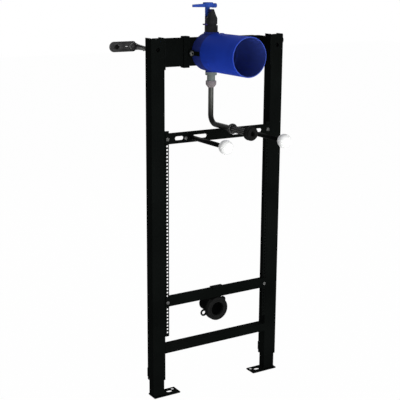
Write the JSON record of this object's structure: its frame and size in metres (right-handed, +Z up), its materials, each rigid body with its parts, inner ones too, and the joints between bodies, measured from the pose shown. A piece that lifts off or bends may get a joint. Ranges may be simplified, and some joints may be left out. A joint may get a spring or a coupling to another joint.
{
  "type": "urinal installation frame",
  "caption": "Height-adjustable steel frame for a dry wall that carries a wall-hung urinal, with flush valve housing, flush pipe, bowl studs and drain.",
  "frame": {"origin": "centre of the left leg's axis on the underside of its foot plate, on the floor", "axes": "+Z up, +Y to the wall behind the frame, +X to the frame's right seen from the front"},
  "size_m": [0.6701, 0.345, 1.2903],
  "materials": {
    "black_steel": "semi-gloss powder coat",
    "dark_steel": "dull galvanised",
    "zinc_steel": "bright zinc plated",
    "black_plastic": "matt",
    "white_plastic": "matt",
    "blue_plastic": "satin",
    "indigo_plastic": "satin",
    "rubber": "matt",
    "grey_fitting": "satin",
    "pipe_metal": "dull"
  },
  "bodies": {
    "left_leg_body": {"left_leg": "black_steel", "left_foot_plate": "black_steel"},
    "frame_body": {"left_upright": "black_steel", "left_rail": "black_steel", "left_leg_clamp": "black_steel", "left_box_clamp": "black_steel", "left_wall_bracket": "dark_steel", "left_adjuster": "zinc_steel", "left_stud": "zinc_steel", "left_stud_nut": "zinc_steel", "left_housing_lug": "black_plastic", "left_stud_cap": "white_plastic", "right_upright": "black_steel", "right_rail": "black_steel", "right_leg_clamp": "black_steel", "right_box_clamp": "black_steel", "right_wall_bracket": "dark_steel", "right_adjuster": "zinc_steel", "right_stud": "zinc_steel", "right_stud_nut": "zinc_steel", "right_housing_lug": "black_plastic", "right_stud_cap": "white_plastic", "top_traverse": "black_steel", "perforated_crossbar": "black_steel", "lower_crossbar": "black_steel", "bottom_crossbar": "black_steel", "drain_clamp": "black_steel", "upper_bar_screws": "zinc_steel", "lower_bar_screws": "zinc_steel", "housing_sleeve": "blue_plastic", "valve_clip": "blue_plastic", "housing_base": "indigo_plastic", "flow_block": "indigo_plastic", "stop_valve_body": "black_plastic", "drain_pipe": "black_plastic", "inlet_seal": "rubber", "drain_seal": "rubber", "outlet_collar": "grey_fitting", "outlet_nut": "grey_fitting", "pipe_nut": "grey_fitting", "flush_pipe": "pipe_metal", "inlet_tube": "pipe_metal"},
    "right_leg_body": {"right_leg": "black_steel", "right_foot_plate": "black_steel"},
    "handle_body": {"valve_handle": "blue_plastic"}
  },
  "joints": [
    {"name": "frame_height", "type": "slide", "parent": "left_leg_body", "child": "frame_body", "axis": [0, 0, 1], "range_m": [-0.045, 0.14]},
    {"name": "right_leg_slide", "type": "slide", "parent": "frame_body", "child": "right_leg_body", "axis": [0, 0, -1], "range_m": [-0.045, 0.14]},
    {"name": "handle_turn", "type": "hinge", "parent": "frame_body", "child": "handle_body", "pos_m": [0.22575, 0.0585, 1.247], "axis": [0, 0, 1], "range_deg": [0, 90]}
  ]
}
